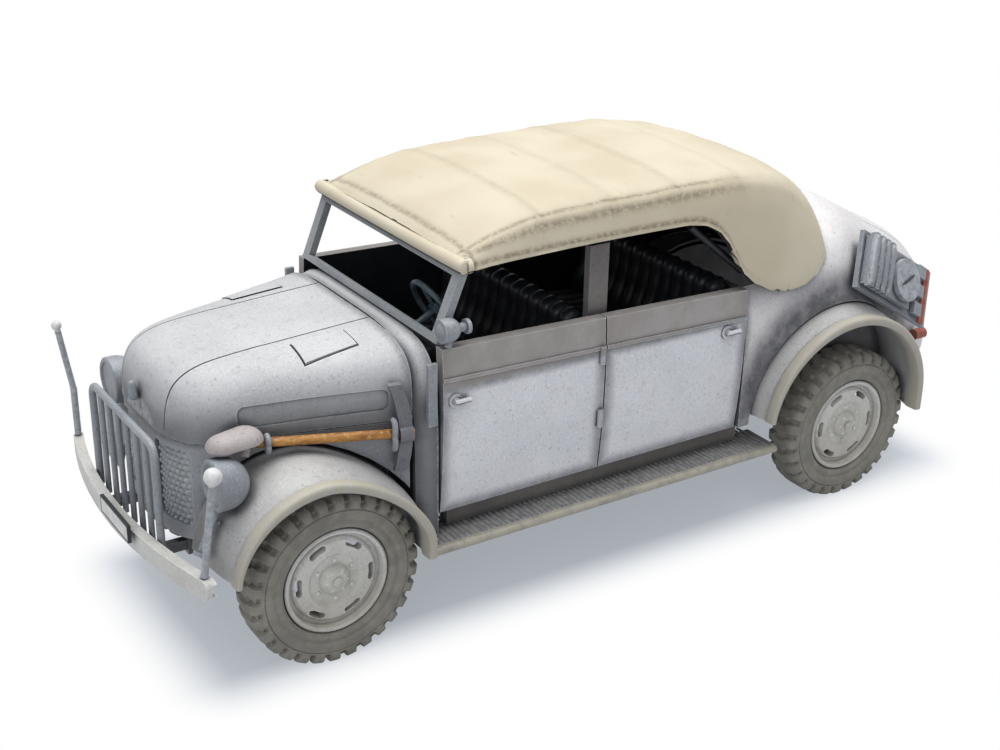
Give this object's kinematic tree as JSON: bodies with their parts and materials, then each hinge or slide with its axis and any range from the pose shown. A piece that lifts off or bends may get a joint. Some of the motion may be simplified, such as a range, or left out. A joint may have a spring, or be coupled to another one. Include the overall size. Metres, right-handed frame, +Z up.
{
  "type": "scale model army 4x4 car",
  "caption": "Small-scale model of a military four-wheel-drive open car with raised canvas hood, brush guard, stowed tools and wheels that turn.",
  "frame": {"origin": "on the ground, under the middle of the model's length and width", "axes": "the front faces -Y, the vehicle's left side is +X, +Z is up"},
  "size_m": [0.0256, 0.0716, 0.0289],
  "materials": {
    "body_paint": "matt pale blue-grey paint, dusted",
    "dusty_paint": "matt grey paint with tan dust on the edges",
    "chassis_paint": "matt dark grey paint",
    "fittings_paint": "matt mid grey paint, worn at edges",
    "interior_paint": "matt very dark grey paint",
    "seat_paint": "satin black-brown paint",
    "hood_canvas": "matt sand paint with brown wash",
    "wheel_paint": "matt grey paint with tan dust",
    "tyre": "matt dusty dark grey",
    "handle_paint": "satin orange-brown, wood-coloured paint",
    "plate_white": "matt white paint with a black border, blank",
    "lamp_red": "satin dark red paint"
  },
  "bodies": {
    "root": {"chassis_frame": "chassis_paint", "gearbox": "chassis_paint", "exhaust": "chassis_paint", "front_axle": "chassis_paint", "rear_axle": "chassis_paint", "leaf_springs": "chassis_paint", "tow_hook": "chassis_paint", "body_tub": "body_paint", "nose_panel": "body_paint", "bonnet": "body_paint", "scuttle": "body_paint", "rear_body": "body_paint", "boot_lid": "body_paint", "front_door_left": "body_paint", "front_door_right": "body_paint", "rear_door_left": "body_paint", "rear_door_right": "body_paint", "front_wing_left": "dusty_paint", "front_wing_right": "dusty_paint", "rear_wing_left": "dusty_paint", "rear_wing_right": "dusty_paint", "running_board_left": "dusty_paint", "running_board_right": "dusty_paint", "windscreen_frame": "fittings_paint", "canvas_hood": "hood_canvas", "hood_bows": "interior_paint", "dashboard": "interior_paint", "steering_wheel": "interior_paint", "front_seat": "seat_paint", "rear_seat": "seat_paint", "front_bumper": "dusty_paint", "brush_guard": "fittings_paint", "front_plate": "plate_white", "width_rod_left": "fittings_paint", "width_rod_right": "fittings_paint", "headlight_left": "fittings_paint", "headlight_right": "fittings_paint", "blackout_lamp": "fittings_paint", "horn": "fittings_paint", "nose_cap": "fittings_paint", "spotlight": "fittings_paint", "trafficators": "fittings_paint", "pickaxe_handle": "handle_paint", "pickaxe_head": "fittings_paint", "stowage_can": "fittings_paint", "stowage_board": "fittings_paint", "tail_lamps": "lamp_red"},
    "wheel_front_left_body": {"wheel_front_left": "wheel_paint", "tyre_front_left": "tyre"},
    "wheel_front_right_body": {"wheel_front_right": "wheel_paint", "tyre_front_right": "tyre"},
    "wheel_rear_left_body": {"wheel_rear_left": "wheel_paint", "tyre_rear_left": "tyre"},
    "wheel_rear_right_body": {"wheel_rear_right": "wheel_paint", "tyre_rear_right": "tyre"}
  },
  "joints": [
    {"name": "front_left_wheel_spin", "type": "hinge", "parent": "root", "child": "wheel_front_left_body", "pos_m": [0.00945, -0.02425, 0.00617], "axis": [1, 0, 0], "continuous": true},
    {"name": "front_right_wheel_spin", "type": "hinge", "parent": "root", "child": "wheel_front_right_body", "pos_m": [-0.00945, -0.02425, 0.00617], "axis": [1, 0, 0], "continuous": true},
    {"name": "rear_left_wheel_spin", "type": "hinge", "parent": "root", "child": "wheel_rear_left_body", "pos_m": [0.00945, 0.02135, 0.00617], "axis": [1, 0, 0], "continuous": true},
    {"name": "rear_right_wheel_spin", "type": "hinge", "parent": "root", "child": "wheel_rear_right_body", "pos_m": [-0.00945, 0.02135, 0.00617], "axis": [1, 0, 0], "continuous": true}
  ]
}
